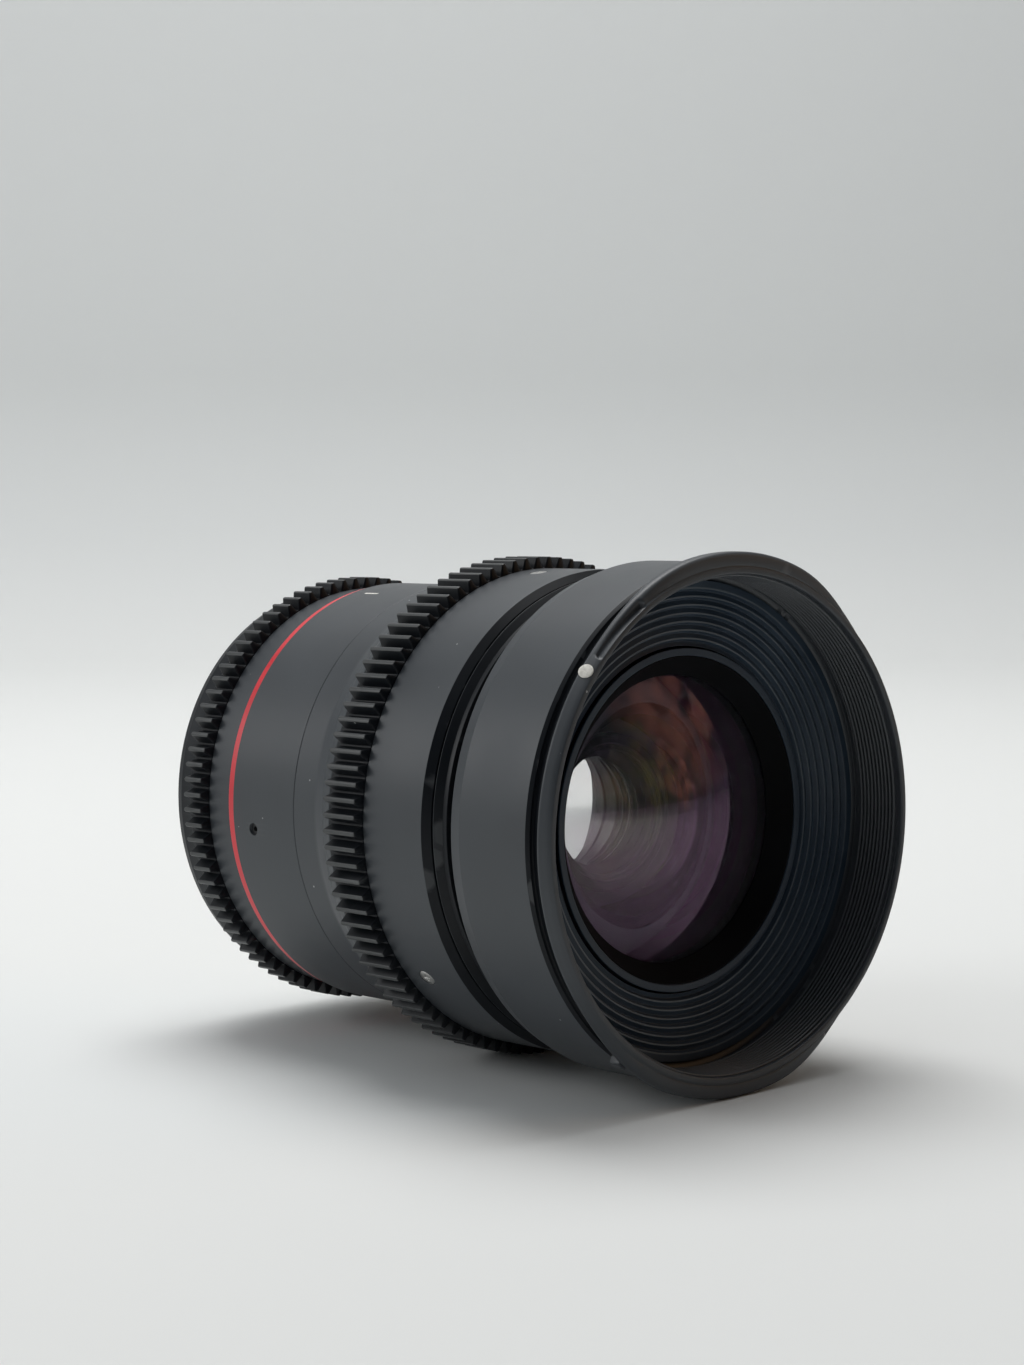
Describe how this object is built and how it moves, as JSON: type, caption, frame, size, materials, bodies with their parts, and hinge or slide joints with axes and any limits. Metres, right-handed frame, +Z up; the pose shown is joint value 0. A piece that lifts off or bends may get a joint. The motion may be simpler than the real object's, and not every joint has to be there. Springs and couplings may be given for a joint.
{
  "type": "cinema prime lens",
  "caption": "Wide cinema prime lens with toothed focus and iris rings, hood bayonet, filter thread, bayonet mount, sliding optics and a bladed iris.",
  "frame": {"origin": "centre of the mount's flange face, on the optical axis", "axes": "+Y along the optical axis towards the camera, the front looks to -Y, +Z up as the lens lies in the picture"},
  "size_m": [0.0816, 0.1027, 0.084],
  "materials": {
    "mount_chrome": "satin chrome plate",
    "screw_steel": "bright steel",
    "baffle_black": "matte black light trap",
    "inner_black": "black anodised, matte",
    "barrel_black": "black anodised, fine satin",
    "red_anodised": "red, satin",
    "white_paint": "white paint fill",
    "gear_black": "moulded black, satin",
    "cam_metal": "bare turned aluminium",
    "roller_brass": "bare brass",
    "coated_glass": "polished, coated",
    "blade_black": "blackened spring steel"
  },
  "bodies": {
    "barrel": {"mount_plate": "mount_chrome", "mount_screws": "screw_steel", "rear_baffle": "baffle_black", "fixed_tube": "inner_black", "fixed_barrel": "barrel_black", "red_ring": "red_anodised", "barrel_set_screws": "inner_black", "stepped_ring": "barrel_black", "front_barrel": "barrel_black", "front_barrel_screws": "screw_steel", "ridged_baffle": "baffle_black", "hood_dot": "white_paint"},
    "focus": {"focus_ring": "barrel_black", "focus_gear": "gear_black", "focus_sleeve": "barrel_black", "focus_screws": "screw_steel", "cam_barrel": "cam_metal"},
    "iris": {"iris_ring": "barrel_black", "iris_gear": "gear_black", "iris_lever": "cam_metal", "iris_lever_screw": "screw_steel"},
    "optics": {"optics_tube": "inner_black", "rear_tube": "inner_black", "front_cell": "inner_black", "front_retainer": "baffle_black", "trim_ring": "baffle_black", "middle_cell": "inner_black", "front_group_cell": "inner_black", "rear_cell": "inner_black", "rear_retainer": "inner_black", "cam_rollers": "roller_brass", "iris_base_plate": "inner_black", "iris_cover": "inner_black", "element_1": "coated_glass", "element_2": "coated_glass", "element_3": "coated_glass", "element_4": "coated_glass", "element_5": "coated_glass", "element_6": "coated_glass", "element_7": "coated_glass", "element_8": "coated_glass", "element_9": "coated_glass", "element_10": "coated_glass"},
    "iris_cam": {"iris_cam_ring": "cam_metal"},
    "blade_1": {"iris_blade_1": "blade_black"},
    "blade_2": {"iris_blade_2": "blade_black"},
    "blade_3": {"iris_blade_3": "blade_black"},
    "blade_4": {"iris_blade_4": "blade_black"},
    "blade_5": {"iris_blade_5": "blade_black"},
    "blade_6": {"iris_blade_6": "blade_black"},
    "blade_7": {"iris_blade_7": "blade_black"},
    "blade_8": {"iris_blade_8": "blade_black"}
  },
  "joints": [
    {"name": "focus_turn", "type": "hinge", "parent": "barrel", "child": "focus", "pos_m": [0, -0.05, 0], "axis": [0, -1, 0], "range_deg": [0, 110]},
    {"name": "iris_turn", "type": "hinge", "parent": "barrel", "child": "iris", "pos_m": [0, -0.01, 0], "axis": [0, -1, 0], "range_deg": [0, 60]},
    {"name": "optics_slide", "type": "slide", "parent": "barrel", "child": "optics", "axis": [0, -1, 0], "range_m": [0, 0.00305]},
    {"name": "iris_cam_turn", "type": "hinge", "parent": "optics", "child": "iris_cam", "pos_m": [0, -0.036, 0], "axis": [0, -1, 0], "range_deg": [0, 60.5]},
    {"name": "blade_1_swing", "type": "hinge", "parent": "optics", "child": "blade_1", "pos_m": [0.0166, -0.033, 0], "axis": [0, -1, 0], "range_deg": [0, 38.3]},
    {"name": "blade_2_swing", "type": "hinge", "parent": "optics", "child": "blade_2", "pos_m": [0.01174, -0.033, 0.01174], "axis": [0, -1, 0], "range_deg": [0, 38.3]},
    {"name": "blade_3_swing", "type": "hinge", "parent": "optics", "child": "blade_3", "pos_m": [0, -0.033, 0.0166], "axis": [0, -1, 0], "range_deg": [0, 38.3]},
    {"name": "blade_4_swing", "type": "hinge", "parent": "optics", "child": "blade_4", "pos_m": [-0.01174, -0.033, 0.01174], "axis": [0, -1, 0], "range_deg": [0, 38.3]},
    {"name": "blade_5_swing", "type": "hinge", "parent": "optics", "child": "blade_5", "pos_m": [-0.0166, -0.033, 0], "axis": [0, -1, 0], "range_deg": [0, 38.3]},
    {"name": "blade_6_swing", "type": "hinge", "parent": "optics", "child": "blade_6", "pos_m": [-0.01174, -0.033, -0.01174], "axis": [0, -1, 0], "range_deg": [0, 38.3]},
    {"name": "blade_7_swing", "type": "hinge", "parent": "optics", "child": "blade_7", "pos_m": [0, -0.033, -0.0166], "axis": [0, -1, 0], "range_deg": [0, 38.3]},
    {"name": "blade_8_swing", "type": "hinge", "parent": "optics", "child": "blade_8", "pos_m": [0.01174, -0.033, -0.01174], "axis": [0, -1, 0], "range_deg": [0, 38.3]}
  ],
  "couplings": [
    {"joint": "optics_slide", "follows": "focus_turn", "m_per_rad": 0.0015626},
    {"joint": "iris_cam_turn", "follows": "iris_turn", "ratio": 1},
    {"joint": "blade_1_swing", "follows": "iris_turn", "ratio": 0.63333},
    {"joint": "blade_2_swing", "follows": "iris_turn", "ratio": 0.63333},
    {"joint": "blade_3_swing", "follows": "iris_turn", "ratio": 0.63333},
    {"joint": "blade_4_swing", "follows": "iris_turn", "ratio": 0.63333},
    {"joint": "blade_5_swing", "follows": "iris_turn", "ratio": 0.63333},
    {"joint": "blade_6_swing", "follows": "iris_turn", "ratio": 0.63333},
    {"joint": "blade_7_swing", "follows": "iris_turn", "ratio": 0.63333},
    {"joint": "blade_8_swing", "follows": "iris_turn", "ratio": 0.63333}
  ]
}
